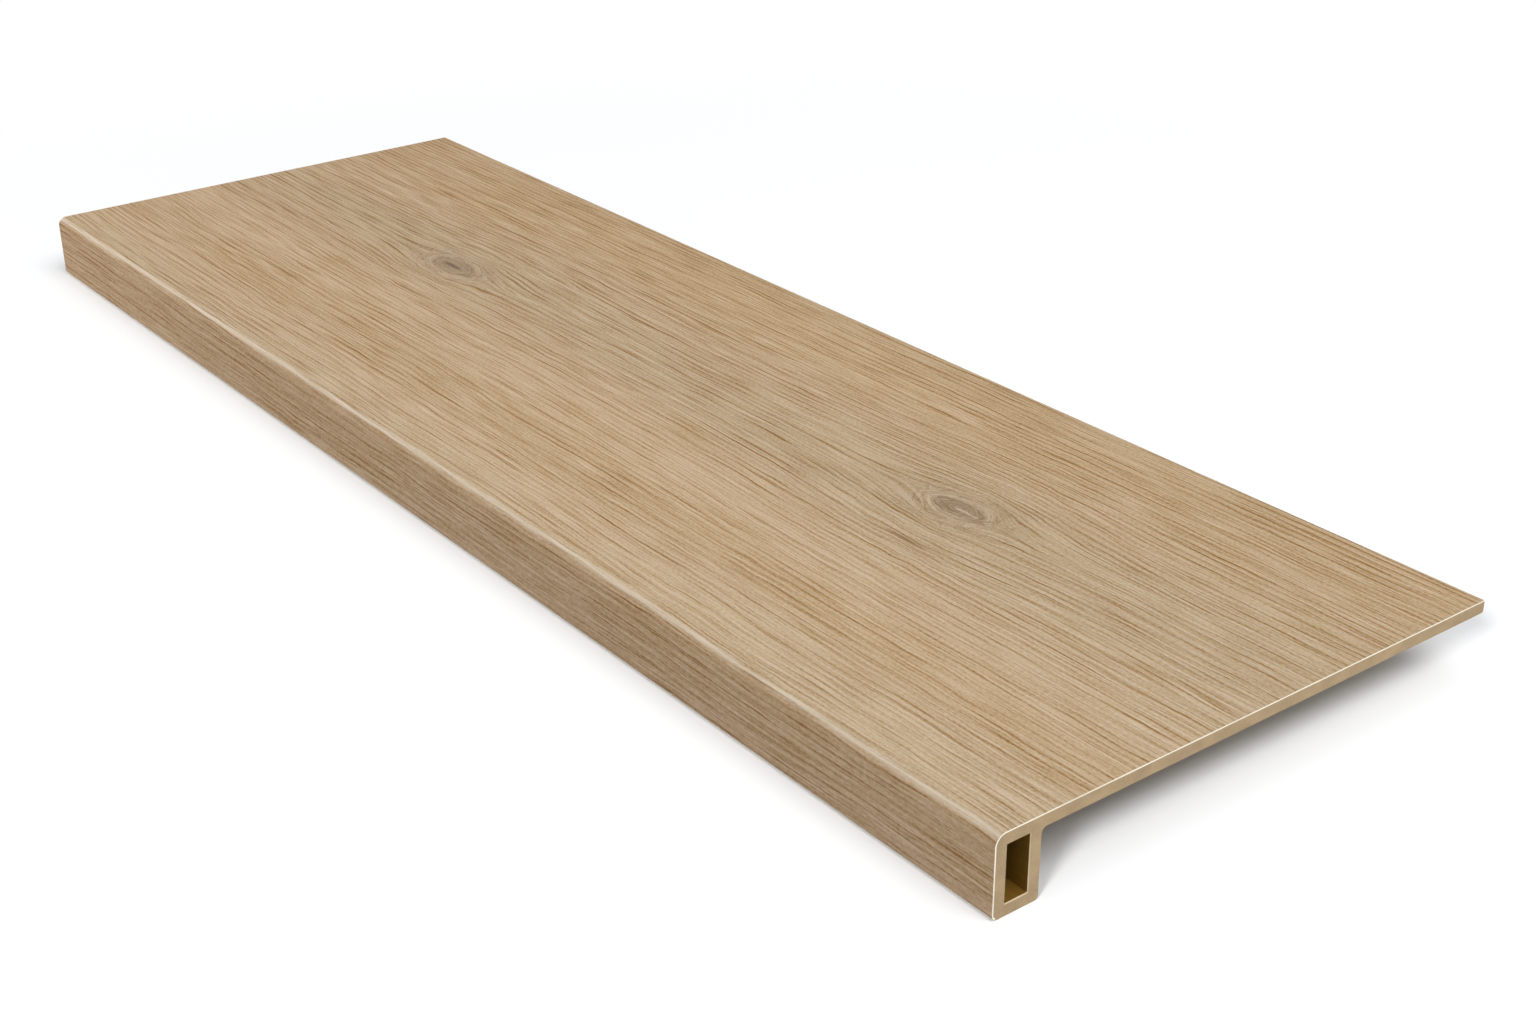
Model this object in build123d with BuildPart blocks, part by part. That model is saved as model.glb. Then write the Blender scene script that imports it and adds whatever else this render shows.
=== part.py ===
from build123d import *

import os

# Stair tread with a hollow box nose: an extruded core profile, wrapped on its top and front by a decor film.
# The tread lies level on its nose. X runs along its length, Y from the nose to the back edge and Z up,
# with the origin on the floor under the middle of the tread.

# Driving dimensions, in millimetres and degrees
tread_length = 1000.0
tread_depth = 325.0  # from the nose's front face to the back edge
nose_height = 43.0  # from the floor to the walking face
nose_width = 26.5  # from the nose's front face to its back wall
plate_thickness = 7.0  # with the film
film_thickness = 0.8
nose_wall = 6.3  # core wall in front of, behind and under the chamber
nose_radius = 6.0  # where the walking face turns down
foot_radius = 3.4  # front lower corner of the nose
heel_radius = 2.0  # back lower corner of the nose
seat_fillet = 3.0  # inner corner between the plate and the nose's back wall
back_edge_radius = 1.2  # lower corner of the plate's back edge
film_back_ease = 0.7  # upper corner of the film at the back edge
film_foot_angle = 60.0  # how far the film turns under with the front foot
chamber_radius = 0.5  # inner corners of the chamber
mouth_chamfer = 0.4  # deburred rim of the chamber at both cut ends

# Places in the section, which has Y to the right and Z up
front_face = -tread_depth / 2
back_edge = tread_depth / 2
nose_back = front_face + nose_width
underside = nose_height - plate_thickness
chamber_width = nose_width - film_thickness - 2 * nose_wall
chamber_height = underside - nose_wall  # the plate is the chamber's roof
chamber_centre = (nose_back - nose_wall - chamber_width / 2, nose_wall + chamber_height / 2)
section_plane = Plane.YZ.offset(-tread_length / 2)

section_corners = [
    ((back_edge, nose_height), film_back_ease),
    ((front_face, nose_height), nose_radius),
    ((front_face, 0), foot_radius),
    ((nose_back, 0), heel_radius),
    ((nose_back, underside), seat_fillet),
    ((back_edge, underside), back_edge_radius),
]

# Decor film: wrapped over the plate and round the nose, down the front face and into the foot
with BuildPart() as decor_film:
    with BuildSketch(section_plane) as film_section:
        with BuildLine():
            over_plate = Line((back_edge, nose_height), (front_face + nose_radius, nose_height))
            round_nose = JernArc(over_plate @ 1, over_plate % 1, nose_radius, 90)
            down_front = Line(round_nose @ 1, (front_face, foot_radius))
            JernArc(down_front @ 1, down_front % 1, foot_radius, film_foot_angle)
            offset(amount=film_thickness, side=Side.LEFT)
        make_face()
        fillet(vertices().sort_by_distance((back_edge, nose_height))[0], radius=film_back_ease)
    extrude(amount=tread_length)
decor_film.part.label = "decor_film"

# Core profile: the plate and the box nose, extruded in one piece around the chamber and recessed for the film
with BuildPart() as core_profile:
    with BuildSketch(section_plane):
        with Locations((front_face, 0)):
            Rectangle(nose_width, nose_height, align=(Align.MIN, Align.MIN))
        with Locations((front_face, underside)):
            Rectangle(tread_depth, plate_thickness, align=(Align.MIN, Align.MIN))
        for corner, radius in section_corners:
            fillet(vertices().sort_by_distance(corner)[0], radius=radius)
        with Locations(chamber_centre):
            RectangleRounded(chamber_width, chamber_height, chamber_radius, mode=Mode.SUBTRACT)
    extrude(amount=tread_length)
    add(decor_film.part, mode=Mode.SUBTRACT)
    cut_ends = faces().sort_by(Axis.X)
    mouth_edges = cut_ends[0].inner_wires().edges() + cut_ends[-1].inner_wires().edges()
    chamfer(mouth_edges, length=mouth_chamfer)
core_profile.part.label = "core_profile"

os.makedirs("parts", exist_ok=True)
export_step(core_profile.part, "parts/core_profile.step")
export_step(decor_film.part, "parts/decor_film.step")
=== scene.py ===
import math

import bpy
import numpy as np
from mathutils import Matrix, Quaternion, Vector


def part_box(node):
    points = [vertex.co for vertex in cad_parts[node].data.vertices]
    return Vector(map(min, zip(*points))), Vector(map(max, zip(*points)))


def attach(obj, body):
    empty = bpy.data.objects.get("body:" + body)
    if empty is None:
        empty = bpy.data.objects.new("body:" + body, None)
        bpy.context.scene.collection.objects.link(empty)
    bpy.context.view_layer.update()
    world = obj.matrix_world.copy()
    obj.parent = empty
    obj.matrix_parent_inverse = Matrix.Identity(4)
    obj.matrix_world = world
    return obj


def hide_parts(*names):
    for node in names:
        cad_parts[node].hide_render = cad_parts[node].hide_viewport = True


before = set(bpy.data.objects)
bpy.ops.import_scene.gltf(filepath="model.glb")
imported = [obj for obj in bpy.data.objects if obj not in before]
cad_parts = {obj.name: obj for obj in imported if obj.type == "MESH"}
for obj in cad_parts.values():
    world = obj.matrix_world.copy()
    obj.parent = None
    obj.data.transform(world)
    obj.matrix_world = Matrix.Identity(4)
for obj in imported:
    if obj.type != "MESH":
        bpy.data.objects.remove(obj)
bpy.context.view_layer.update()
FILM_LOW, FILM_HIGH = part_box("decor_film")
CORE_LOW, CORE_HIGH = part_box("core_profile")

bl_info = {
    "name": "Stair tread with oak film",
    "version": (1, 0, 0),
    "blender": (4, 5, 0),
    "location": "3D View > Sidebar > Tread",
    "description": "Builds a stair tread with a hollow nose and an oak print film embossed along its grain",
    "category": "Object",
}


# Sizes, colours and stage values that a user would change


class TreadShape(bpy.types.PropertyGroup):
    """Section of the tread, as in the frame that it is built on."""

    film_thickness: bpy.props.FloatProperty(
        name="Film thickness", description="Wrapped print film, from its face to the core",
        default=FILM_HIGH.z - CORE_HIGH.z, unit="LENGTH", precision=5)
    plate_thickness: bpy.props.FloatProperty(
        name="Plate thickness", description="Walking plate behind the nose, with its film",
        default=0.007, unit="LENGTH", precision=5)
    nose_width: bpy.props.FloatProperty(
        name="Nose width", description="From the nose's front face to its back wall",
        default=0.0265, unit="LENGTH", precision=5)
    nose_wall: bpy.props.FloatProperty(
        name="Nose wall", description="Core wall in front of, behind and under the chamber",
        default=0.0063, unit="LENGTH", precision=5)
    nose_radius: bpy.props.FloatProperty(
        name="Nose radius", description="Film's outside where the walking face turns down",
        default=0.006, unit="LENGTH", precision=5)
    foot_radius: bpy.props.FloatProperty(
        name="Foot radius", description="Front lower corner of the nose",
        default=0.0034, unit="LENGTH", precision=5)
    heel_radius: bpy.props.FloatProperty(
        name="Heel radius", description="Back lower corner of the nose",
        default=0.002, unit="LENGTH", precision=5)
    seat_radius: bpy.props.FloatProperty(
        name="Seat radius", description="Inner corner between the plate and the nose's back wall",
        default=0.003, unit="LENGTH", precision=5)
    back_radius: bpy.props.FloatProperty(
        name="Back edge radius", description="Lower corner of the plate's back edge",
        default=0.0012, unit="LENGTH", precision=5)
    chamber_radius: bpy.props.FloatProperty(
        name="Chamber radius", description="Inner corners of the nose's chamber",
        default=0.0005, unit="LENGTH", precision=5)
    mouth_chamfer: bpy.props.FloatProperty(
        name="Mouth chamfer", description="Deburred rim of the chamber at both cut ends",
        default=0.0004, unit="LENGTH", precision=5)
    film_back_radius: bpy.props.FloatProperty(
        name="Film back radius", description="Upper corner of the film at the back edge",
        default=0.0007, unit="LENGTH", precision=5)
    film_foot_turn: bpy.props.FloatProperty(
        name="Film foot turn", description="How far the film turns under with the front foot",
        default=math.radians(60), subtype="ANGLE")


class OakGrain(bpy.types.PropertyGroup):
    """Run of the printed grain and its embossing."""

    seed: bpy.props.IntProperty(
        name="Seed", description="Chooses another board of the same kind", default=7)
    near_knot: bpy.props.FloatVectorProperty(
        name="Near knot", description="Middle of the knot towards +X, on the walking face",
        size=2, default=(0.2654, 0.0294), unit="LENGTH")
    near_knot_eye: bpy.props.FloatVectorProperty(
        name="Near knot eye", description="Half length and half width of its ringed eye",
        size=2, default=(0.027, 0.0145), unit="LENGTH", precision=5)
    far_knot: bpy.props.FloatVectorProperty(
        name="Far knot", description="Middle of the knot towards -X, on the walking face",
        size=2, default=(-0.2309, 0.0115), unit="LENGTH")
    far_knot_eye: bpy.props.FloatVectorProperty(
        name="Far knot eye", description="Half length and half width of its ringed eye",
        size=2, default=(0.033, 0.0138), unit="LENGTH", precision=5)
    dash: bpy.props.FloatVectorProperty(
        name="Dash", description="Middle of the dark dash beside the near knot, on the walking face",
        size=2, default=(0.2735, -0.016), unit="LENGTH")
    dash_size: bpy.props.FloatVectorProperty(
        name="Dash size", description="Half length and half width of the dark dash",
        size=2, default=(0.023, 0.0017), unit="LENGTH", precision=5)
    lens_length: bpy.props.FloatProperty(
        name="Lens length", description="How far along the grain a knot still bends it",
        default=0.105, unit="LENGTH")
    lens_width: bpy.props.FloatProperty(
        name="Lens width", description="How far across the grain a knot still bends it",
        default=0.060, unit="LENGTH")
    lens_push: bpy.props.FloatProperty(
        name="Lens push", description="How far the grain beside a knot is pushed aside",
        default=0.005, unit="LENGTH", precision=5)
    relief_depth: bpy.props.FloatProperty(
        name="Embossing depth", description="Depth of the deepest embossed grain line",
        default=0.00006, unit="LENGTH", precision=6)
    warm_turn: bpy.props.FloatProperty(
        name="Warm bands", description="Distance across the board from one warm band to the next",
        default=0.222, unit="LENGTH")
    warm_middle: bpy.props.FloatProperty(
        name="Warm band middle", description="Where the warm band near the back edge lies",
        default=0.130, unit="LENGTH")
    pale_turn: bpy.props.FloatProperty(
        name="Pale bands", description="Distance between the pale bands of the board's front half",
        default=0.079, unit="LENGTH")
    pale_middle: bpy.props.FloatProperty(
        name="Pale band middle", description="Where the pale band beside the board's middle lies",
        default=-0.057, unit="LENGTH")
    shade: bpy.props.FloatVectorProperty(
        name="Shade", description="Middle of the grey shade along the grain at the far knot",
        size=2, default=(-0.310, 0.022), unit="LENGTH")
    shade_size: bpy.props.FloatVectorProperty(
        name="Shade size", description="Half length and half width of the grey shade",
        size=2, default=(0.24, 0.032), unit="LENGTH", precision=5)


class TreadFinish(bpy.types.PropertyGroup):
    """Colours of the film and the core."""

    oak_dark: bpy.props.FloatVectorProperty(
        name="Oak dark", description="Darkest grain lines of the print",
        size=3, subtype="COLOR", default=(0.236, 0.112, 0.018), min=0, max=1)
    oak: bpy.props.FloatVectorProperty(
        name="Oak", description="Middle tone of the print",
        size=3, subtype="COLOR", default=(0.443, 0.318, 0.187), min=0, max=1)
    oak_pale: bpy.props.FloatVectorProperty(
        name="Oak pale", description="Palest streaks of the print",
        size=3, subtype="COLOR", default=(0.596, 0.470, 0.338), min=0, max=1)
    cool: bpy.props.FloatVectorProperty(
        name="Cool bands", description="Tint of the print's cool bands",
        size=3, subtype="COLOR", default=(0.975, 1.0, 1.035), min=0, max=2)
    warm: bpy.props.FloatVectorProperty(
        name="Warm bands", description="Tint of the print's warm bands",
        size=3, subtype="COLOR", default=(1.025, 0.985, 0.925), min=0, max=2)
    shade: bpy.props.FloatVectorProperty(
        name="Shade", description="How far the shade at the far knot greys the print",
        size=3, subtype="COLOR", default=(0.935, 0.945, 0.955), min=0, max=1)
    dash: bpy.props.FloatVectorProperty(
        name="Dash", description="How far the dash beside the near knot darkens the print",
        size=3, subtype="COLOR", default=(0.56, 0.47, 0.37), min=0, max=1)
    knot_halo: bpy.props.FloatVectorProperty(
        name="Knot halo", description="How far the print is darker round a knot",
        size=3, subtype="COLOR", default=(0.90, 0.895, 0.89), min=0, max=1)
    knot_heart: bpy.props.FloatVectorProperty(
        name="Knot heart", description="How far a knot's heart darkens the print",
        size=3, subtype="COLOR", default=(0.70, 0.67, 0.62), min=0, max=1)
    knot_core: bpy.props.FloatVectorProperty(
        name="Knot core", description="How far the far knot's core darkens the print",
        size=3, subtype="COLOR", default=(0.50, 0.47, 0.44), min=0, max=1)
    knot_outline: bpy.props.FloatVectorProperty(
        name="Knot outline", description="How far the outline of a heart darkens the print",
        size=3, subtype="COLOR", default=(0.62, 0.57, 0.50), min=0, max=1)
    knot_arc: bpy.props.FloatVectorProperty(
        name="Knot arcs", description="How far the dark arcs round a knot darken the print",
        size=3, subtype="COLOR", default=(0.74, 0.70, 0.64), min=0, max=1)
    knot_stroke: bpy.props.FloatVectorProperty(
        name="Knot strokes", description="How far the strokes round the near knot darken the print",
        size=3, subtype="COLOR", default=(0.84, 0.81, 0.77), min=0, max=1)
    # Painted shade: how far the print on the nose's front is made darker and deeper than on the walking face
    front: bpy.props.FloatVectorProperty(
        name="Front", description="How far the print is deeper on the nose's front",
        size=3, subtype="COLOR", default=(0.975, 0.900, 0.835), min=0, max=1)
    # Painted highlight: the pale colour that the print turns to along the middle of the nose's bend
    painted_highlight: bpy.props.FloatVectorProperty(
        name="Rubbed bend", description="Print where it is rubbed pale along the nose's bend",
        size=3, subtype="COLOR", default=(0.66, 0.57, 0.45), min=0, max=1)
    film_body: bpy.props.FloatVectorProperty(
        name="Film body", description="Film's own cream, at its cut edges",
        size=3, subtype="COLOR", default=(0.90, 0.83, 0.68), min=0, max=1)
    core_cut: bpy.props.FloatVectorProperty(
        name="Core cut", description="Sawn ends of the core",
        size=3, subtype="COLOR", default=(0.378, 0.269, 0.147), min=0, max=1)
    core_skin: bpy.props.FloatVectorProperty(
        name="Core skin", description="Extruded skin of the core",
        size=3, subtype="COLOR", default=(0.34, 0.255, 0.155), min=0, max=1)
    # Painted shade: the core's skin made darker and deeper for the walls inside the chamber
    chamber_skin_painted_shade: bpy.props.FloatVectorProperty(
        name="Chamber skin", description="Walls of the nose's chamber",
        size=3, subtype="COLOR", default=(0.165, 0.085, 0.008), min=0, max=1)
    # Painted highlight: the chamfered chamber rim is coloured paler than the cut ends it lies between
    chamber_rim_painted_highlight: bpy.props.FloatVectorProperty(
        name="Chamber rim", description="Deburred rim of the chamber",
        size=3, subtype="COLOR", default=(0.62, 0.49, 0.31), min=0, max=1)


class TreadStage(bpy.types.PropertyGroup):
    """Camera, floor and lamps."""

    camera_place: bpy.props.FloatVectorProperty(
        name="Camera place", description="Where the camera stands", size=3, unit="LENGTH",
        default=(1.033484, -0.688223, 0.558140))
    camera_turn: bpy.props.FloatProperty(
        name="Camera turn", description="Azimuth of the camera from the front", subtype="ANGLE",
        default=math.radians(52.462))
    camera_rise: bpy.props.FloatProperty(
        name="Camera rise", description="Elevation of the camera", subtype="ANGLE",
        default=math.radians(26.276))
    camera_roll: bpy.props.FloatProperty(
        name="Camera roll", description="Roll of the camera about its own axis", subtype="ANGLE",
        default=math.radians(-0.378))
    lens: bpy.props.FloatProperty(
        name="Lens", description="Focal length on a 36 mm wide sensor, in millimetres", default=51.4992)
    floor: bpy.props.FloatVectorProperty(
        name="Floor", description="Pale floor",
        size=3, subtype="COLOR", default=(0.640, 0.647, 0.656), min=0, max=1)
    floor_gain: bpy.props.FloatProperty(
        name="Floor gain", description="How much paler than its own colour the floor is shown",
        default=1.06)
    floor_light: bpy.props.FloatProperty(
        name="Floor light", description="Strength of the low light that reaches the floor alone",
        default=2.9)
    floor_spread: bpy.props.FloatProperty(
        name="Floor light spread", description="Width of the low light as seen from the floor",
        default=math.radians(12), subtype="ANGLE")
    key_strength: bpy.props.FloatProperty(
        name="Key light", description="Strength of the broad key light from the near end", default=1.68)
    key_spread: bpy.props.FloatProperty(
        name="Key spread", description="Width of the key light as seen from the tread", subtype="ANGLE",
        default=math.radians(38))
    overhead_power: bpy.props.FloatProperty(
        name="Overhead softbox", description="Power of the softbox over the tread",
        default=15.0, unit="POWER")
    side_power: bpy.props.FloatProperty(
        name="Side softbox", description="Power of the softbox that the nose mirrors",
        default=62.0, unit="POWER")
    front_power: bpy.props.FloatProperty(
        name="Front softbox", description="Power of the low softbox before the far end",
        default=1.0, unit="POWER")
    sky: bpy.props.FloatProperty(
        name="Room light", description="Even light from all round", default=0.32)


# How finely the meshes are cut: longest steps of a section's straight runs and steps of its arcs
PRINT_GAP = 0.00122
PLAIN_GAP = 0.02
WIDE_GAP = 0.04
FILM_BACK_GAP = 0.08
NOSE_STEPS = 14
SEAT_STEPS = 10
HEEL_STEPS = 8
FOOT_STEPS = 6
EDGE_STEPS = 6
CORNER_STEPS = 4

# Stations along X: how many the core has, and for the film their gap, their gap at a knot, how far a knot
# crowds them and how many samples their density is summed from
CORE_STATIONS = 41
STATION_GAP = 0.0055
KNOT_GAP = 0.0018
KNOT_CROWD = 0.045
DENSITY_SAMPLES = 20001

# Numbers along each side of the lattice that noise is mixed from
LATTICE = 251

# Less than any real step of a section, for comparing heights
TINY = 1e-9

# Sockets of the mix node that take its two colours and give the mixed one
MIX_COLOUR_INPUTS = (6, 7)
MIX_COLOUR_OUTPUT = 2

# Where the suns shine from, and each softbox's place, the point it faces and its size
KEY_FROM = (0.58, 0.0, 0.81)
FLOOR_LIGHT_FROM = (0.37, -0.76, 0.535)
OVERHEAD_BOX = ((0.85, 0.10, 1.7), (0.15, 0.0, 0.0), (2.0, 2.0))
SIDE_BOX = ((-1.4, -0.85, 1.45), (0.0, -0.16, 0.04), (0.8, 2.4))
SIDE_TILT = -0.6
FRONT_BOX = ((-0.75, -0.75, 0.12), (-0.45, -0.16, 0.02), (0.5, 0.2))


# Curves and noise


def evenly(start, end, gap):
    """Points on a straight line up to, but without, its end: start plus equal steps no longer than gap."""
    start, end = np.array(start), np.array(end)
    steps = max(1, math.ceil(np.linalg.norm(end - start) / gap))
    return start + (end - start) * (np.arange(steps) / steps)[:, None]


def arc(centre, radius, start, end, steps):
    """Points on an arc up to, but without, its end: the centre plus the radius times the cosine and sine of
    an angle in degrees that goes from start to end in equal steps."""
    turn = np.radians(start + (end - start) * np.arange(steps) / steps)
    return np.array(centre) + radius * np.stack([np.cos(turn), np.sin(turn)], -1)


def smooth_step(low, high, value):
    """0 below low, 1 above high, and 3t^2 - 2t^3 between them."""
    t = np.clip((value - low) / (high - low), 0, 1)
    return t * t * (3 - 2 * t)


def soft_noise(along, across, seed):
    """Smooth noise from 0 to 1: seeded numbers on a lattice of unit squares, and inside each square its four
    corners mixed by 3t^2 - 2t^3 in both directions."""
    table = np.random.default_rng(seed).random((LATTICE, LATTICE))
    row, column = np.floor(along).astype(int), np.floor(across).astype(int)
    s, t = smooth_step(0, 1, along - row), smooth_step(0, 1, across - column)
    row, below, column, beside = (place % LATTICE for place in (row, row + 1, column, column + 1))
    near = table[row, column] * (1 - s) + table[below, column] * s
    far = table[row, beside] * (1 - s) + table[below, beside] * s
    return near * (1 - t) + far * t


def run_along(line):
    """Distance along a line at each of its points: the running total of its steps."""
    return np.concatenate([[0], np.cumsum(np.linalg.norm(np.diff(line, axis=0), axis=1))])


# Sections, as (y, z) points that run anticlockwise seen from +X


def film_outside(shape):
    """Film's outer line: back edge, its eased corner, walking face, nose, front and turn under the foot.
    Straight runs and arcs follow each other, each without its last point. Returns the line and its outward
    normals."""
    back, front, top = FILM_HIGH.y, FILM_LOW.y, FILM_HIGH.z
    ease, nose, foot = shape.film_back_radius, shape.nose_radius, shape.foot_radius
    film_end = 180 + math.degrees(shape.film_foot_turn)
    foot_centre = (front + foot, foot)
    line = np.concatenate([
        evenly((back, top - shape.film_thickness), (back, top - ease), PRINT_GAP),
        arc((back - ease, top - ease), ease, 0, 90, CORNER_STEPS),
        evenly((back - ease, top), (front + nose, top), PRINT_GAP),
        arc((front + nose, top - nose), nose, 90, 180, NOSE_STEPS),
        evenly((front, top - nose), (front, foot), PRINT_GAP),
        arc(foot_centre, foot, 180, film_end, FOOT_STEPS),
        arc(foot_centre, foot, film_end, film_end, 1),
    ])
    ahead = np.gradient(line, axis=0)
    ahead /= np.linalg.norm(ahead, axis=1)[:, None]
    return line, np.stack([ahead[:, 1], -ahead[:, 0]], -1)


def film_inside(shape):
    """Film's inner line, from the foot back to the back edge: the outer line's runs and arcs, nearer by the
    film's thickness, where the film lies on the core."""
    front, top, thick = FILM_LOW.y, FILM_HIGH.z, shape.film_thickness
    nose, foot = shape.nose_radius, shape.foot_radius
    film_end = 180 + math.degrees(shape.film_foot_turn)
    return np.concatenate([
        arc((front + foot, foot), foot - thick, film_end, 180, FOOT_STEPS),
        evenly((front + thick, foot), (front + thick, top - nose), PLAIN_GAP),
        arc((front + nose, top - nose), nose - thick, 180, 90, NOSE_STEPS),
        evenly((front + nose, top - thick), (FILM_HIGH.y, top - thick), FILM_BACK_GAP),
    ])


def core_outside(shape):
    """Core's outer line, from over the middle of the chamber: walking side, nose, front, foot with the step
    that the film ends at, back wall, seat, underside and back edge, as straight runs and arcs. Returns the
    line and the number of the point under the middle of the chamber."""
    back, front, top = CORE_HIGH.y, CORE_LOW.y, CORE_HIGH.z
    under = FILM_HIGH.z - shape.plate_thickness
    wall = FILM_LOW.y + shape.nose_width
    thick, heel, seat, edge = shape.film_thickness, shape.heel_radius, shape.seat_radius, shape.back_radius
    nose, foot = shape.nose_radius - thick, shape.foot_radius
    foot_centre = (FILM_LOW.y + foot, foot)
    film_end = 180 + math.degrees(shape.film_foot_turn)
    middle = (front + wall) / 2
    front_half = np.concatenate([
        evenly((middle, top), (front + nose, top), PLAIN_GAP),
        arc((front + nose, top - nose), nose, 90, 180, NOSE_STEPS),
        evenly((front, top - nose), (front, foot), PLAIN_GAP),
        arc(foot_centre, foot - thick, 180, film_end, FOOT_STEPS),
        arc(foot_centre, foot - thick, film_end, film_end, 1),
        arc(foot_centre, foot, film_end, 270, CORNER_STEPS),
        evenly((foot_centre[0], 0), (middle, 0), PLAIN_GAP),
    ])
    back_half = np.concatenate([
        evenly((middle, 0), (wall - heel, 0), PLAIN_GAP),
        arc((wall - heel, heel), heel, -90, 0, HEEL_STEPS),
        evenly((wall, heel), (wall, under - seat), PLAIN_GAP),
        arc((wall + seat, under - seat), seat, 180, 90, SEAT_STEPS),
        evenly((wall + seat, under), (back - edge, under), WIDE_GAP),
        arc((back - edge, under + edge), edge, -90, 0, EDGE_STEPS),
        evenly((back, under + edge), (back, top), PLAIN_GAP),
        evenly((back, top), (middle, top), WIDE_GAP),
    ])
    return np.concatenate([front_half, back_half]), len(front_half)


def chamber_line(shape, grown):
    """Chamber's line, clockwise from the middle of its floor: a rectangle with rounded corners, grown
    outwards by the given amount. Returns the line and the number of the point in the middle of its roof."""
    low = CORE_LOW.y + shape.nose_wall - grown
    high = FILM_LOW.y + shape.nose_width - shape.nose_wall + grown
    floor = shape.nose_wall - grown
    ceiling = FILM_HIGH.z - shape.plate_thickness + grown
    r = shape.chamber_radius
    middle = (low + high) / 2
    front_half = np.concatenate([
        evenly((middle, floor), (low + r, floor), PLAIN_GAP),
        arc((low + r, floor + r), r, 270, 180, CORNER_STEPS),
        evenly((low, floor + r), (low, ceiling - r), PLAIN_GAP),
        arc((low + r, ceiling - r), r, 180, 90, CORNER_STEPS),
        evenly((low + r, ceiling), (middle, ceiling), PLAIN_GAP),
    ])
    back_half = np.concatenate([
        evenly((middle, ceiling), (high - r, ceiling), PLAIN_GAP),
        arc((high - r, ceiling - r), r, 90, 0, CORNER_STEPS),
        evenly((high, ceiling - r), (high, floor + r), PLAIN_GAP),
        arc((high - r, floor + r), r, 0, -90, CORNER_STEPS),
        evenly((high - r, floor), (middle, floor), PLAIN_GAP),
    ])
    return np.concatenate([front_half, back_half]), len(front_half)


# Meshes


def carried(line, stations):
    """A section carried along X: every point of the line repeated at every station, station by station."""
    count, columns = len(stations), len(line)
    x = np.repeat(stations, columns)
    return np.concatenate([x[:, None], np.tile(line, (count, 1))], 1)


def tube_faces(stations, columns, first=0):
    """Four-sided faces round a closed section, between each station and the next, facing away from an
    anticlockwise line."""
    row = first + np.arange(stations - 1)[:, None] * columns
    here = np.arange(columns)[None]
    there = (here + 1) % columns
    corners = [row + here, row + there, row + columns + there, row + columns + here]
    return np.stack(corners, -1).reshape(-1, 4)


def put_object(name, points, faces, materials, slots, sharp=30.0):
    """A mesh object at the origin from whole arrays, smooth but for edges sharper than the given angle."""
    mesh = bpy.data.meshes.new(name)
    mesh.from_pydata(points.tolist(), [], faces)
    for material in materials:
        mesh.materials.append(material)
    mesh.polygons.foreach_set("material_index", np.asarray(slots, dtype=np.int32))
    mesh.polygons.foreach_set("use_smooth", np.ones(len(mesh.polygons), dtype=bool))
    mesh.set_sharp_from_angle(angle=math.radians(sharp))
    mesh.update()
    if mesh.validate():
        raise RuntimeError(name + " has faces that don't hold together")
    made = bpy.data.objects.new(name, mesh)
    bpy.context.scene.collection.objects.link(made)
    return made


def grain_stations(grain):
    """Stations along X that crowd round the knots: the running total of a density, which is one line in every
    station gap and rises to one in every knot gap as a bell curve, cut into equal parts."""
    x = np.linspace(FILM_LOW.x, FILM_HIGH.x, DENSITY_SAMPLES)
    bell = sum(np.exp(-(((x - knot[0]) / KNOT_CROWD) ** 2)) for knot in (grain.near_knot, grain.far_knot))
    density = 1 / STATION_GAP + (1 / KNOT_GAP - 1 / STATION_GAP) * np.clip(bell, 0, 1)
    total = np.concatenate([[0], np.cumsum((density[1:] + density[:-1]) / 2 * np.diff(x))])
    return np.interp(np.linspace(0, total[-1], math.ceil(total[-1]) + 1), total, x)


def grain_field(x, girth, grain):
    """Where each point lies in the grain, as a place along it and a place across it.

    Across starts as the girth. Each knot pushes it as water flows past a post: a share of the offset from the
    knot, divided by the squared reach, is taken away, so lines part at the eye and close behind it. A wider
    lens, a bell along X that dies away across, spreads the grain before and behind the eye. Inside the eye,
    where the reach is under 1, across falls with the reach, so the grain closes into rings, and along follows
    the cosine round the knot. Two slow noises sway the whole board.
    """
    push, closing, uneven, side_width, ring_length = 0.75, 1.7, 0.22, 1.6, 1.3
    along, across = x.copy(), girth.copy()
    wobble = soft_noise(x / 0.011, girth / 0.007, grain.seed + 20) - 0.5
    for (knot_x, knot_y), (half_length, half_width) in (
        (grain.near_knot, grain.near_knot_eye),
        (grain.far_knot, grain.far_knot_eye),
    ):
        dx, dy = (x - knot_x) / half_length, (girth - knot_y) / half_width
        r = np.hypot(dx, dy) * (1 + uneven * wobble)
        outside = -push * half_width * dy / np.maximum(r, 1) ** 2
        inside = -push * half_width * dy - closing * half_width * (1 - r)
        across += np.where(r < 1, inside, outside)
        side = np.tanh((girth - knot_y) / (side_width * half_width))
        aside = np.abs(girth - knot_y) / grain.lens_width
        lens = np.exp(-(((x - knot_x) / grain.lens_length) ** 2) - aside)
        across -= grain.lens_push * side * lens * np.clip(r, 0, 1)
        ring = knot_x + ring_length * half_length * dx / np.maximum(r, 0.05)
        along = ring + (along - ring) * smooth_step(0.9, 2.4, r)
    for depth, long, wide, draw in ((0.0016, 0.085, 0.05, 1), (0.0011, 0.030, 0.018, 2)):
        across += depth * (soft_noise(x / long, girth / wide, grain.seed + draw) - 0.5)
    return along, across


def knot_offsets(x, girth, grain):
    """Each point's offset from the nearer knot, divided by the half length and half width of its eye, and 1
    where that is the near knot or 0 where it is the far one."""
    near = x > (grain.near_knot[0] + grain.far_knot[0]) / 2
    offsets = [((x - knot[0]) / eye[0], (girth - knot[1]) / eye[1]) for knot, eye in (
        (grain.near_knot, grain.near_knot_eye), (grain.far_knot, grain.far_knot_eye))]
    return np.stack([*np.where(near, *offsets), near], -1)


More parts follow.
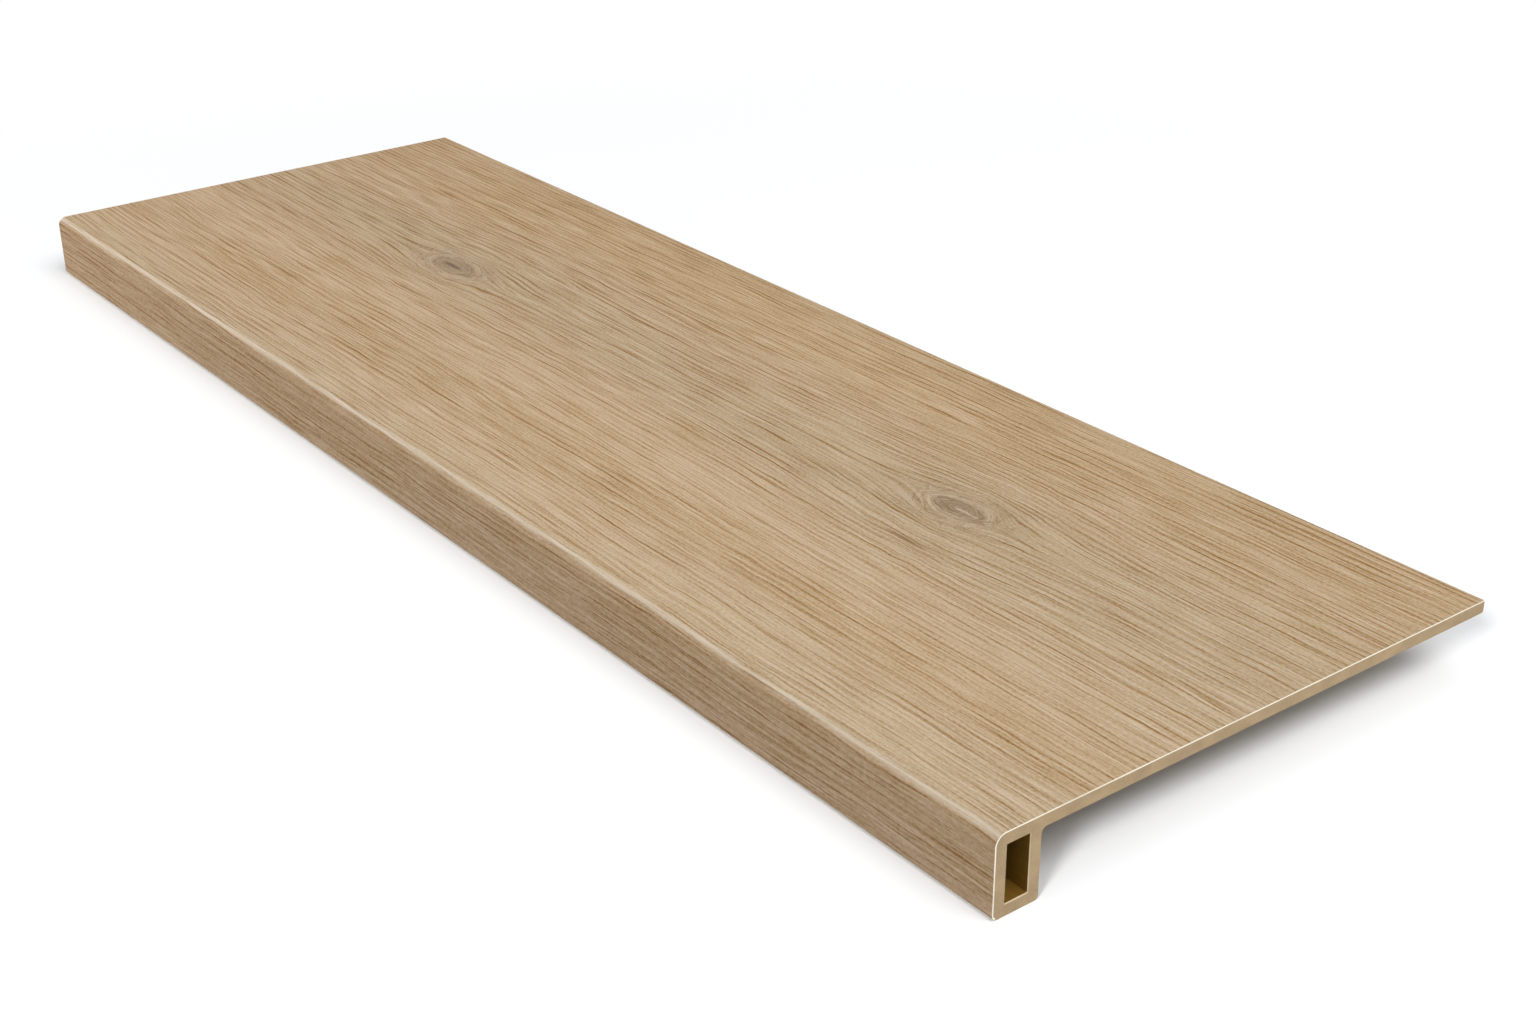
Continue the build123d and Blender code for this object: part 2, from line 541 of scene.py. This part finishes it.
def grain_relief(along, across, seed):
    """Embossed grain, from 0 on the lands to 1 in the deepest line: two layers of noise drawn out along the
    grain, raised to a power so that narrow lines are cut into broad lands."""
    lines = soft_noise(along / 0.055, across / 0.0037, seed + 3)
    fine = soft_noise(along / 0.026, across / 0.0025, seed + 4)
    return np.clip(0.62 * lines + 0.38 * fine, 0, 1) ** 2.2


# Materials


def start_material(name):
    """A new node material. Returns it, its node tree and its surface shader."""
    material = bpy.data.materials.new(name)
    material.use_nodes = True
    tree = material.node_tree
    return material, tree, tree.nodes["Principled BSDF"]


def feed(tree, socket, given):
    """Gives a socket its input: another socket is linked, None leaves it as it is, all else is its value."""
    if isinstance(given, bpy.types.NodeSocket):
        tree.links.new(given, socket)
    elif given is not None:
        socket.default_value = given


def add(tree, kind, *inputs, **settings):
    """Adds a node, feeds its sockets in order and returns its first output."""
    made = tree.nodes.new(kind)
    for key, value in settings.items():
        setattr(made, key, value)
    for socket, given in zip(made.inputs, inputs):
        feed(tree, socket, given)
    return made.outputs[0]


def object_place(tree):
    """Each point's place on its object, in metres."""
    return add(tree, "ShaderNodeTexCoord").node.outputs["Object"]


def split(tree, vector):
    """The three parts of a vector."""
    return add(tree, "ShaderNodeSeparateXYZ", vector).node.outputs


def length(tree, vector):
    """Length of a vector."""
    return add(tree, "ShaderNodeVectorMath", vector, operation="LENGTH").node.outputs["Value"]


def math_node(tree, operation, *inputs):
    """Result of one math operation on the inputs."""
    return add(tree, "ShaderNodeMath", *inputs, operation=operation)


def scaled(tree, vector, factors):
    """The vector with each of its three parts times its own factor."""
    return add(tree, "ShaderNodeVectorMath", vector, factors, operation="MULTIPLY")


def noise(tree, vector, cells, detail, roughness=0.5):
    """Noise with so many cells to a unit of the vector's three parts. Few cells along and many across draw it
    out into lines."""
    return add(tree, "ShaderNodeTexNoise", scaled(tree, vector, cells), None, 1.0, detail, roughness)


def stretch(tree, value, low, high, to_low=0.0, to_high=1.0):
    """value moved smoothly from the range low to high into another."""
    return add(
        tree, "ShaderNodeMapRange", value, low, high, to_low, to_high, interpolation_type="SMOOTHSTEP")


def mix_colours(tree, factor, first, second, how="MIX"):
    """Two colours mixed by a factor, in one of the mix node's ways."""
    made = add(tree, "ShaderNodeMix", factor, data_type="RGBA", blend_type=how).node
    for number, colour in zip(MIX_COLOUR_INPUTS, (first, second)):
        feed(tree, made.inputs[number], colour)
    return made.outputs[MIX_COLOUR_OUTPUT]


def opaque(colour):
    """The colour with a full alpha."""
    return (*colour, 1.0)


def weighted(tree, start, *pairs):
    """start plus each value times its weight, one after the other."""
    total = start
    for value, weight in pairs:
        total = math_node(tree, "MULTIPLY_ADD", value, weight, total)
    return total


def both(tree, first, *others):
    """The values multiplied with each other."""
    for other in others:
        first = math_node(tree, "MULTIPLY", first, other)
    return first


def year_lines(tree, lane, per_metre, breaks, begins):
    """Lines along the grain: across times the lines per metre, bent by slow noise, and of its fraction a dip
    that deepens slowly from where it begins and ends at once. Another noise lets each line come and go along
    the grain."""
    sway, deepest = 2.4, 0.90
    bend = noise(tree, lane, (0.3 * breaks, 40, 0), 1.0)
    across = split(tree, lane)[1]
    phase = math_node(tree, "FRACT", weighted(tree, begins, (across, per_metre), (bend, sway)))
    dip = both(tree, stretch(tree, phase, begins, deepest), stretch(tree, phase, 1.0, deepest))
    comes = stretch(tree, noise(tree, lane, (breaks, 380, 0), 1.0), 0.32, 0.68)
    return both(tree, dip, comes)


def spot(tree, here, place, size):
    """1 in the middle of an ellipse on the walking face, falling to 0 at its edge."""
    shrunk = (1 / size[0], 1 / size[1], 0)
    centre = (-place[0] / size[0], -place[1] / size[1], 0)
    offset = add(tree, "ShaderNodeVectorMath", here, shrunk, centre, operation="MULTIPLY_ADD")
    return stretch(tree, length(tree, offset), 1.0, 0.3)


def wave(tree, across, turn, middle):
    """A slow wave across the board: the cosine of the distance from a middle, with one period to a turn."""
    phase = math_node(tree, "MULTIPLY_ADD", across, 2 * math.pi / turn, -2 * math.pi * middle / turn)
    return math_node(tree, "COSINE", phase)


def colour_by_tone(tree, surface, tone, colour, darkest, palest):
    """Colours the surface from a darkest to a palest share of one colour, by a tone from 0 to 1."""
    shades = [opaque([share * part for part in colour]) for share in (darkest, palest)]
    tree.links.new(mix_colours(tree, tone, *shades), surface.inputs["Base Color"])


def roughen(tree, surface, rough, height, strength, depth):
    """Links the surface's roughness, and bumps it by a height with a strength and a depth in metres."""
    tree.links.new(rough, surface.inputs["Roughness"])
    bump = add(tree, "ShaderNodeBump", strength, depth)
    tree.links.new(height, bump.node.inputs["Height"])
    tree.links.new(bump, surface.inputs["Normal"])


def draw_knots(tree, knot, colour, finish):
    """Knots over a colour. The reach is the length of the offset in eyes, bent by noise, and a slimmer one
    serves the near heart. A halo, a heart with a dark outline and, in the far knot, a slim dark core are
    bells of the reach. Noise that is drawn out round the knot, with the reach as one of its axes, gives pale
    and dark arcs and, round the near knot, thin strokes. A pale crack along the grain splits the near heart.
    """
    kx, ky, near = split(tree, knot)
    flat = add(tree, "ShaderNodeCombineXYZ", kx, ky, 0.0)
    bend = noise(tree, flat, (2.1, 2.1, 0), 2.0)
    bent = math_node(tree, "MULTIPLY_ADD", bend, 0.7, 0.65)
    reach = both(tree, length(tree, flat), bent)
    slimmed = both(tree, ky, math_node(tree, "MULTIPLY_ADD", near, 0.35, 1.0))
    slim = add(tree, "ShaderNodeCombineXYZ", kx, slimmed, 0.0)
    inner = both(tree, length(tree, slim), bent)
    far = math_node(tree, "SUBTRACT", 1.0, near)

    halo = stretch(tree, reach, 2.4, 0.7)
    heart = both(tree, stretch(tree, inner, 0.76, 0.45), math_node(tree, "MULTIPLY_ADD", near, 0.33, 0.62))
    core = both(tree, stretch(tree, length(tree, scaled(tree, flat, (1.0, 2.3, 0))), 0.46, 0.20), far)
    outline = both(tree, stretch(tree, inner, 0.78, 0.66), stretch(tree, inner, 0.54, 0.66),
                   stretch(tree, bend, 0.35, 0.6))

    round_knot = add(tree, "ShaderNodeCombineXYZ", kx, reach, ky)
    arcs = noise(tree, round_knot, (2.0, 18, 1.6), 1.0)
    eye = both(tree, stretch(tree, reach, 1.9, 1.0), stretch(tree, reach, 0.12, 0.4))
    dark = both(tree, stretch(tree, arcs, 0.46, 0.32), eye)
    pale = both(tree, stretch(tree, arcs, 0.56, 0.72), eye)
    strokes = noise(tree, round_knot, (4.5, 34, 3.6), 1.0)
    swirl = both(tree, stretch(tree, strokes, 0.44, 0.30), stretch(tree, reach, 2.3, 1.3), near)
    beside = math_node(tree, "ABSOLUTE", weighted(tree, -0.12, (bend, 0.3), (ky, 1.0)))
    before = math_node(tree, "ABSOLUTE", math_node(tree, "SUBTRACT", kx, 0.27))
    crack = both(tree, stretch(tree, beside, 0.055, 0.015), stretch(tree, before, 0.36, 0.24), near)

    for part, darker in (
        (halo, finish.knot_halo), (heart, finish.knot_heart), (core, finish.knot_core),
        (outline, finish.knot_outline), (dark, finish.knot_arc), (swirl, finish.knot_stroke),
    ):
        colour = mix_colours(tree, part, colour, opaque(darker), "MULTIPLY")
    light = math_node(tree, "MAXIMUM", both(tree, pale, 0.32), both(tree, crack, 0.6))
    return mix_colours(tree, light, colour, opaque(finish.oak_pale))


def painted_highlight_band(tree, here, shape):
    """Mask of the painted highlight on the nose: 1 along the middle of the nose's bend, falling to 0 on both
    sides: of the place's distance from that line, measured along the bend's tangent there."""
    lean, outer_edge, inner_edge = math.radians(32), 0.0024, 0.0004
    tangent = Vector((0, -math.cos(lean), -math.sin(lean)))
    centre = Vector((0, FILM_LOW.y + shape.nose_radius, FILM_HIGH.z - shape.nose_radius))
    along = add(tree, "ShaderNodeVectorMath", here, tangent, operation="DOT_PRODUCT").node.outputs["Value"]
    aside = math_node(tree, "ABSOLUTE", math_node(tree, "SUBTRACT", along, tangent.dot(centre)))
    return stretch(tree, aside, outer_edge, inner_edge)


def oak_print(finish, grain, shape):
    """Printed oak. Its coordinates are the film's own grain attribute: along, across and the embossing. A
    tone is summed from fibres, streaks, flecks, year lines, pale bands and painted shade that darkens the
    walking face towards the back edge, and a ramp of the oak's colours gives it a colour. A slow wave across
    the board warms it, a shade greys it, a dash and the knots are drawn over it, painted shade darkens and
    deepens the front, and a painted highlight makes the bend paler."""
    material, tree, surface = start_material("oak_print")
    place = add(tree, "ShaderNodeAttribute", attribute_name="grain").node.outputs["Vector"]
    knot = add(tree, "ShaderNodeAttribute", attribute_name="knot").node.outputs["Vector"]
    along, across, groove = split(tree, place)

    sway = noise(tree, place, (6, 22, 0), 1.0)
    shiver = noise(tree, place, (48, 130, 0), 1.0)
    swayed = weighted(tree, across, (sway, 0.0045), (shiver, 0.0012))
    lane = add(tree, "ShaderNodeCombineXYZ", along, swayed, 0.0)

    calm = stretch(tree, length(tree, scaled(tree, knot, (1, 1, 0))), 0.7, 2.0, 0.2, 1.0)
    coarse = both(tree, year_lines(tree, lane, 245, 9, 0.15), calm)
    fine = both(tree, year_lines(tree, lane, 420, 20, 0.50), calm)
    glint = stretch(tree, noise(tree, lane, (24, 700, 0), 1.0), 0.58, 0.76)
    fibre = noise(tree, lane, (26, 1000, 0), 2.0, 0.5)
    streak = noise(tree, lane, (6, 430, 0), 1.0, 0.5)
    dash = stretch(tree, noise(tree, lane, (24, 330, 0), 1.0), 0.68, 0.80)
    patch = noise(tree, lane, (7, 110, 0), 2.0)
    board = noise(tree, lane, (1.6, 14, 0), 1.0)
    here = object_place(tree)
    fleck = noise(tree, here, (450, 1000, 1000), 1.0)

    pale = wave(tree, across, grain.pale_turn, grain.pale_middle)
    front_half = stretch(tree, across, 0.0, -0.045)
    bands = both(tree, weighted(tree, 0.6, (pale, 1.0)), front_half)

    # The start keeps the tone in the middle of the ramp: half of each noise is taken off, and what the dark
    # lines take off is given back
    noises = ((fibre, 1.12), (streak, 0.28), (patch, 0.10), (board, 0.16), (fleck, 0.72))
    given_back = 0.163
    start = 0.5 - 0.5 * sum(weight for _, weight in noises) + given_back
    # Painted shade: the across term darkens the walking face from the nose towards the back edge
    tone = weighted(
        tree, start, *noises, (across, -0.27), (along, 0.03), (groove, -0.08), (coarse, -0.43), (fine, -0.36),
        (dash, -0.12), (glint, 0.24), (bands, 0.05))

    ramp = tree.nodes.new("ShaderNodeValToRGB")
    ramp.color_ramp.elements[0].color = opaque(finish.oak_dark)
    ramp.color_ramp.elements[1].color = opaque(finish.oak_pale)
    ramp.color_ramp.elements.new(0.5).color = opaque(finish.oak)
    tree.links.new(tone, ramp.inputs[0])

    warm = wave(tree, across, grain.warm_turn, grain.warm_middle)
    warmth = weighted(tree, 0.15, (warm, 0.32), (board, 0.9), (along, -0.7))
    tint = mix_colours(tree, warmth, opaque(finish.cool), opaque(finish.warm))
    board_colour = mix_colours(tree, 1.0, ramp.outputs[0], tint, "MULTIPLY")

    mark = both(tree, spot(tree, here, grain.dash, grain.dash_size), stretch(tree, fibre, 0.75, 0.45))
    shade = spot(tree, here, grain.shade, grain.shade_size)
    shaded = mix_colours(tree, shade, board_colour, opaque(finish.shade), "MULTIPLY")
    marked = mix_colours(tree, mark, shaded, opaque(finish.dash), "MULTIPLY")
    knotted = draw_knots(tree, knot, marked, finish)
    # Painted shade: the print on the nose's front is darkened and deepened
    bend_end, front_start = FILM_LOW.y + 0.003, FILM_LOW.y + 0.0002
    front = stretch(tree, split(tree, here)[1], bend_end, front_start)
    front_shaded = mix_colours(tree, front, knotted, opaque(finish.front), "MULTIPLY")
    # Painted highlight: the print turns pale along the middle of the nose's bend, broken up by the fibres
    highlight_band = both(tree, painted_highlight_band(tree, here, shape), stretch(tree, fibre, 0.25, 0.70, 0.30, 0.68))
    printed = mix_colours(tree, highlight_band, front_shaded, opaque(finish.painted_highlight))
    tree.links.new(printed, surface.inputs["Base Color"])

    rough = weighted(tree, 0.36, (fibre, 0.12), (groove, 0.10), (coarse, 0.08))
    height = weighted(tree, 0.0, (fibre, 0.6), (coarse, -0.5), (fine, -0.3))
    roughen(tree, surface, rough, height, strength=0.22, depth=0.00025)
    surface.inputs["Specular IOR Level"].default_value = 0.05
    return material


def film_body(finish):
    """Film's own cream at its cut edges: a slow drift of tone and a fine speckle on Object coordinates."""
    material, tree, surface = start_material("film_body")
    here = object_place(tree)
    drift = noise(tree, here, (40, 40, 40), 2.0)
    speck = noise(tree, here, (1400, 1400, 1400), 2.0)
    tone = stretch(tree, weighted(tree, 0.0, (drift, 0.6), (speck, 0.4)), 0.36, 0.62)
    colour_by_tone(tree, surface, tone, finish.film_body, darkest=0.86, palest=1.0)
    rough = weighted(tree, 0.42, (speck, 0.2))
    roughen(tree, surface, rough, speck, strength=0.15, depth=0.0001)
    return material


def core_cut(name, colour):
    """Sawn or deburred core: clouds, a fine grit and the saw's faint upright lines, on Object coordinates."""
    material, tree, surface = start_material(name)
    here = object_place(tree)
    cloud = noise(tree, here, (60, 70, 95), 3.0, 0.55)
    grit = noise(tree, here, (900, 900, 900), 2.0, 0.6)
    saw = noise(tree, here, (40, 950, 45), 1.0)
    tone = stretch(tree, weighted(tree, 0.0, (cloud, 0.60), (grit, 0.34), (saw, 0.06)), 0.36, 0.64)
    colour_by_tone(tree, surface, tone, colour, darkest=0.86, palest=1.10)
    rough = weighted(tree, 0.50, (grit, 0.24))
    height = weighted(tree, 0.0, (grit, 0.7), (saw, 0.5))
    roughen(tree, surface, rough, height, strength=0.25, depth=0.0002)
    surface.inputs["Specular IOR Level"].default_value = 0.35
    return material


def core_skin(name, colour):
    """Extruded skin of the core: die lines that run along X, a slow drift of tone and a fine grain, on Object
    coordinates."""
    material, tree, surface = start_material(name)
    here = object_place(tree)
    die = noise(tree, here, (1.2, 420, 420), 2.0, 0.55)
    drift = noise(tree, here, (7, 25, 25), 2.0)
    grit = noise(tree, here, (700, 1100, 1100), 2.0)
    tone = stretch(tree, weighted(tree, 0.0, (die, 0.42), (drift, 0.40), (grit, 0.18)), 0.36, 0.64)
    colour_by_tone(tree, surface, tone, colour, darkest=0.82, palest=1.12)
    rough = weighted(tree, 0.34, (die, 0.18), (grit, 0.12))
    height = weighted(tree, 0.0, (die, 0.8), (grit, 0.2))
    roughen(tree, surface, rough, height, strength=0.18, depth=0.0003)
    return material


# Pieces


class TREAD_OT_film(bpy.types.Operator):
    """Wraps the oak print film over the tread, embossed along its grain"""

    bl_idname = "tread.film"
    bl_label = "Wrap film"

    def execute(self, context):
        scene = context.scene
        shape, grain, finish = scene.tread_shape, scene.tread_grain, scene.tread_finish
        outer, normal = film_outside(shape)
        inner = film_inside(shape)
        stations = grain_stations(grain)
        run = run_along(outer)
        face_start = np.argmax(outer[:, 1] >= FILM_HIGH.z - TINY)
        walked = FILM_HIGH.y - (run - run[face_start]) - shape.film_back_radius
        x, girth = np.meshgrid(stations, walked, indexing="ij")
        along, across = grain_field(x, girth, grain)
        groove = grain_relief(along, across, grain.seed)
        edge_fade = 0.004
        ends = smooth_step(0, edge_fade, run) * smooth_step(0, edge_fade, run[-1] - run)
        sunk = outer[None] - normal[None] * (grain.relief_depth * groove * ends)[..., None]

        count, columns, shown = len(stations), len(outer) + len(inner), len(outer)
        points = np.empty((count, columns, 3))
        points[..., 0] = stations[:, None]
        points[:, :shown, 1:] = sunk
        points[:, shown:, 1:] = inner
        sides = tube_faces(count, columns)
        cap = np.arange(columns)
        faces = sides.tolist() + [cap[::-1].tolist(), (cap + (count - 1) * columns).tolist()]
        side = np.tile(np.arange(columns), count - 1)
        first_shown = np.argmax(outer[:, 1] > FILM_HIGH.z - shape.film_back_radius - TINY)
        printed = (side >= first_shown) & (side < shown - 1)
        print_slot, body_slot = 0, 1
        slots = np.concatenate([np.where(printed, print_slot, body_slot), [body_slot, body_slot]])
        materials = [oak_print(finish, grain, shape), film_body(finish)]
        film = put_object("oak_film", points.reshape(-1, 3), faces, materials, slots)

        field = np.zeros((count, columns, 3))
        field[:, :shown] = np.stack([along, across, groove], -1)
        film.data.attributes.new("grain", "FLOAT_VECTOR", "POINT").data.foreach_set("vector", field.ravel())
        field[:, :shown] = knot_offsets(x, girth, grain)
        film.data.attributes.new("knot", "FLOAT_VECTOR", "POINT").data.foreach_set("vector", field.ravel())
        unroll_film(film, stations, run, inner)
        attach(film, "root")
        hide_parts("decor_film")
        return {"FINISHED"}


def unroll_film(film, stations, run, inner):
    """The film's map: its printed side unrolled over most of the square, X across and girth up, and its back,
    its edges and its two ends in narrow strips above."""
    margin, width, print_height = 0.004, 0.992, 0.886
    foot_low, back_low, back_height, edge_high = 0.905, 0.912, 0.05, 0.968
    near_low, far_low, end_height = 0.974, 0.988, 0.009
    count, columns, shown = len(stations), len(run) + len(inner), len(run)
    u = margin + width * (stations - stations[0]) / (stations[-1] - stations[0])
    hidden = run_along(inner)
    rise = np.concatenate([
        margin + print_height * run / run[-1], back_low + back_height * hidden / hidden[-1]])
    row = np.repeat(np.arange(count - 1), columns)
    here = np.tile(np.arange(columns), count - 1)
    low = np.where(here == shown - 1, foot_low, rise[here])
    high = np.where(here == columns - 1, edge_high, rise[(here + 1) % columns])
    sides = np.stack([
        np.stack([u[row], low], -1), np.stack([u[row], high], -1),
        np.stack([u[row + 1], high], -1), np.stack([u[row + 1], low], -1)], 1)
    share = np.concatenate([run / run[-1], 1 - hidden / hidden[-1]])
    step = np.where(np.arange(columns) < shown, end_height, 0.0)
    end = np.stack([margin + width * share, step], -1)
    corners = np.concatenate([sides.reshape(-1, 2), (end + (0, near_low))[::-1], end + (0, far_low)])
    film.data.uv_layers.new(name="OFBake").uv.foreach_set("vector", corners.ravel())


class TREAD_OT_core(bpy.types.Operator):
    """Extrudes the core with its hollow nose and deburred chamber mouths"""

    bl_idname = "tread.core"
    bl_label = "Extrude core"

    def execute(self, context):
        shape, finish = context.scene.tread_shape, context.scene.tread_finish
        outer, under = core_outside(shape)
        chamber, over = chamber_line(shape, 0)
        mouth, _ = chamber_line(shape, shape.mouth_chamfer)
        stations = np.linspace(CORE_LOW.x, CORE_HIGH.x, CORE_STATIONS)
        depths = stations.copy()
        depths[[0, -1]] += np.array([1, -1]) * shape.mouth_chamfer
        depths = np.concatenate([stations[:1], depths, stations[-1:]])
        skin = carried(outer, stations)
        bore = carried(chamber, depths).reshape(len(depths), -1, 3)
        bore[[0, -1], :, 1:] = mouth
        points = np.concatenate([skin, bore.reshape(-1, 3)])

        first, columns, bored = len(skin), len(outer), len(chamber)
        skin_sides, bore_sides = tube_faces(len(stations), columns), tube_faces(len(depths), bored, first)
        ring, hole = np.arange(columns), first + np.arange(bored)
        halves = [np.concatenate([ring[:under + 1], hole[:over + 1]]),
                  np.concatenate([ring[under:], ring[:1], hole[over:], hole[:1]])]
        near_end = [half[::-1].tolist() for half in halves]
        shifts = [np.where(half < first, len(skin_sides), len(bore_sides)) for half in halves]
        far_end = [(half + shift).tolist() for half, shift in zip(halves, shifts)]
        faces = skin_sides.tolist() + bore_sides.tolist() + near_end + far_end

        skin_slot, cut_slot, wall_slot, rim_highlight_slot = range(4)
        slots = np.repeat(
            [skin_slot, rim_highlight_slot, wall_slot, rim_highlight_slot, cut_slot],
            [len(skin_sides), bored, len(bore_sides) - 2 * bored, bored, len(near_end + far_end)])
        materials = [core_skin("core_skin", finish.core_skin),
                     core_cut("core_cut", finish.core_cut),
                     # Chamber walls: the core skin with painted shade
                     core_skin("chamber_skin_painted_shade", finish.chamber_skin_painted_shade),
                     # Chamber rim: the cut core with a painted highlight
                     core_cut("chamber_rim_painted_highlight", finish.chamber_rim_painted_highlight)]
        core = put_object("tread_core", points, faces, materials, slots)
        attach(core, "root")
        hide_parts("core_profile")
        return {"FINISHED"}


class TREAD_OT_stage(bpy.types.Operator):
    """Sets the pale floor, the soft light and the camera"""

    bl_idname = "tread.stage"
    bl_label = "Set stage"

    def execute(self, context):
        stage = context.scene.tread_stage
        floor = set_floor(stage)
        set_world(context.scene, stage)
        set_sun("key_light", KEY_FROM, stage.key_strength, stage.key_spread)
        low = set_sun("floor_light", FLOOR_LIGHT_FROM, stage.floor_light, stage.floor_spread)
        light_only(low, floor)
        set_softbox("overhead_softbox", *OVERHEAD_BOX, stage.overhead_power)
        side = set_softbox("side_softbox", *SIDE_BOX, stage.side_power, SIDE_TILT)
        side.visible_diffuse = False  # the nose mirrors it, and it lights nothing matt
        set_softbox("front_softbox", *FRONT_BOX, stage.front_power)
        set_camera(context.scene, stage)
        context.scene.view_settings.view_transform = "Standard"
        return {"FINISHED"}


def seen_rays(tree):
    """1 for rays from the camera and those that a mirror or glass sends on, else 0."""
    path = tree.nodes.new("ShaderNodeLightPath").outputs
    mirrored = math_node(tree, "MAXIMUM", path["Is Camera Ray"], path["Is Glossy Ray"])
    return math_node(tree, "MAXIMUM", mirrored, path["Is Transmission Ray"])


def set_floor(stage):
    """A round floor: rings of points at equal angles, at radii that grow as a power of the ring's number. It
    takes light and shadow near the tread and fades into plain white farther out."""
    rings, spokes, reach, growth = 24, 96, 8.0, 1.6
    fade_start, fade_end = 0.60, 0.90
    radius = np.linspace(0, 1, rings + 1)[1:] ** growth * reach
    turn = np.arange(spokes) / spokes * 2 * np.pi
    x, y = np.outer(radius, np.cos(turn)), np.outer(radius, np.sin(turn))
    disc = np.stack([x, y, np.zeros_like(x)], -1)
    points = np.concatenate([np.zeros((1, 3)), disc.reshape(-1, 3)])
    here = np.arange(spokes)
    hub = np.stack([np.zeros(spokes, int), 1 + here, 1 + (here + 1) % spokes], -1)
    faces = hub.tolist() + tube_faces(rings, spokes, 1)[:, ::-1].tolist()

    material, tree, surface = start_material("pale_floor")
    tree.nodes.remove(surface)
    out = tree.nodes["Material Output"]
    away = length(tree, object_place(tree))
    near = add(tree, "ShaderNodeBsdfDiffuse", opaque([stage.floor_gain * c for c in stage.floor]))
    white = add(tree, "ShaderNodeEmission", (1, 1, 1, 1), 1.0)
    shown = add(tree, "ShaderNodeMixShader", stretch(tree, away, fade_start, fade_end), near, white)
    bounce = add(tree, "ShaderNodeBsdfDiffuse", opaque(stage.floor))
    tree.links.new(add(tree, "ShaderNodeMixShader", seen_rays(tree), bounce, shown), out.inputs["Surface"])

    floor = put_object("floor", points, faces, [material], np.zeros(len(faces)))
    return floor


def set_world(scene, stage):
    """Even white light, and plain white where the camera looks past the floor."""
    world = bpy.data.worlds.new("room")
    world.use_nodes = True
    scene.world = world
    tree = world.node_tree
    background = tree.nodes["Background"]
    background.inputs["Color"].default_value = (1, 1, 1, 1)
    strength = math_node(tree, "MULTIPLY_ADD", seen_rays(tree), 1.0 - stage.sky, stage.sky)
    tree.links.new(strength, background.inputs["Strength"])


def set_sun(name, direction, strength, spread):
    """An even light that comes from a direction, as wide as its spread."""
    lamp = bpy.data.lights.new(name, "SUN")
    lamp.energy, lamp.angle = strength, spread
    made = bpy.data.objects.new(name, lamp)
    made.rotation_euler = (-Vector(direction)).to_track_quat("-Z", "Y").to_euler()
    bpy.context.scene.collection.objects.link(made)
    return made


def light_only(lamp, lit):
    """Lets a lamp light one object alone; the others still throw their shadows on it."""
    group = bpy.data.collections.new(lamp.name + "_lit")
    group.objects.link(lit)
    lamp.light_linking.receiver_collection = group


def set_softbox(name, place, target, size, power, tilt=0.0):
    """A softbox at a place, facing a target and tilted about the line to it."""
    lamp = bpy.data.lights.new(name, "AREA")
    lamp.shape = "RECTANGLE"
    lamp.size, lamp.size_y = size
    lamp.energy = power
    made = bpy.data.objects.new(name, lamp)
    made.location = place
    facing = (Vector(target) - Vector(place)).to_track_quat("-Z", "Y")
    made.rotation_euler = (facing @ Quaternion((0, 0, 1), tilt)).to_euler()
    bpy.context.scene.collection.objects.link(made)
    return made


def set_camera(scene, stage):
    """A camera from its azimuth, elevation and roll: its back axis points from the tread to it."""
    turn, rise, roll = stage.camera_turn, stage.camera_rise, stage.camera_roll
    back = Vector((math.sin(turn) * math.cos(rise), -math.cos(turn) * math.cos(rise), math.sin(rise)))
    right = Vector((0, 0, 1)).cross(back).normalized()
    up = back.cross(right)
    right, up = right * math.cos(roll) + up * math.sin(roll), up * math.cos(roll) - right * math.sin(roll)
    lens = bpy.data.cameras.new("camera")
    lens.lens = stage.lens
    lens.sensor_width = 36.0
    lens.sensor_fit = "HORIZONTAL"
    lens.clip_start, lens.clip_end = 0.05, 60.0
    made = bpy.data.objects.new("camera", lens)
    facing = Matrix((right, up, back)).transposed().to_4x4()
    made.matrix_world = Matrix.Translation(stage.camera_place) @ facing
    scene.collection.objects.link(made)
    scene.camera = made


class TREAD_PT_panel(bpy.types.Panel):
    """Lists the tread's pieces and their values"""

    bl_idname = "TREAD_PT_panel"
    bl_label = "Stair tread"
    bl_space_type = "VIEW_3D"
    bl_region_type = "UI"
    bl_category = "Tread"

    def draw(self, context):
        for title, key in GROUPS:
            box = self.layout.box()
            box.label(text=title)
            group = getattr(context.scene, key)
            for name in group.bl_rna.properties.keys():
                if name not in ("rna_type", "name"):
                    box.prop(group, name)
        for operator in OPERATORS:
            self.layout.operator(operator.bl_idname)


GROUPS = (
    ("Shape", "tread_shape"),
    ("Grain", "tread_grain"),
    ("Finish", "tread_finish"),
    ("Stage", "tread_stage"),
)
OPERATORS = (TREAD_OT_core, TREAD_OT_film, TREAD_OT_stage)
CLASSES = (TreadShape, OakGrain, TreadFinish, TreadStage, *OPERATORS, TREAD_PT_panel)


def register():
    for cls in CLASSES:
        bpy.utils.register_class(cls)
    bpy.types.Scene.tread_shape = bpy.props.PointerProperty(type=TreadShape)
    bpy.types.Scene.tread_grain = bpy.props.PointerProperty(type=OakGrain)
    bpy.types.Scene.tread_finish = bpy.props.PointerProperty(type=TreadFinish)
    bpy.types.Scene.tread_stage = bpy.props.PointerProperty(type=TreadStage)


def unregister():
    for _, key in GROUPS:
        delattr(bpy.types.Scene, key)
    for cls in reversed(CLASSES):
        bpy.utils.unregister_class(cls)


def main():
    register()
    bpy.ops.tread.core()
    bpy.ops.tread.film()
    bpy.ops.tread.stage()


if __name__ == "__main__":
    main()
